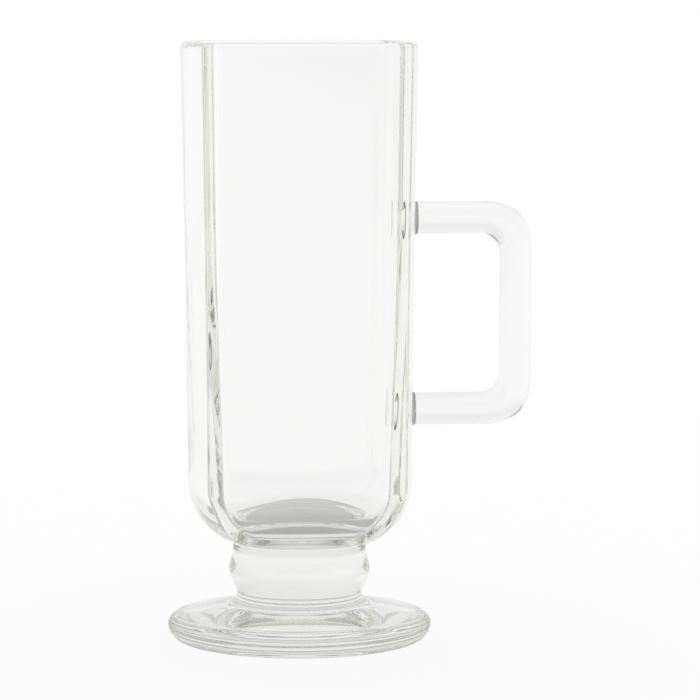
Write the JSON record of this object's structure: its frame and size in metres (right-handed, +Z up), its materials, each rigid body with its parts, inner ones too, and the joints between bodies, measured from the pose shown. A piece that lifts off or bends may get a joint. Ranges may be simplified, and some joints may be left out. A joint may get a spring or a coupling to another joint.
{
  "type": "irish coffee glass mug",
  "caption": "Tall mug of thick clear glass: soft square bowl, ringed stem, round foot and square rod handle. It holds hot coffee drinks.",
  "frame": {"origin": "on the mug's axis, in the plane of the foot's flat underside", "axes": "+Z up along the mug's axis, +X from the axis towards the handle, +Y across the handle"},
  "size_m": [0.097, 0.07, 0.1588],
  "materials": {
    "clear_glass": "clear and fire-polished"
  },
  "bodies": {
    "root": {"bowl": "clear_glass", "stem": "clear_glass", "foot": "clear_glass", "handle": "clear_glass", "upper_handle_pad": "clear_glass", "lower_handle_pad": "clear_glass"}
  },
  "joints": []
}
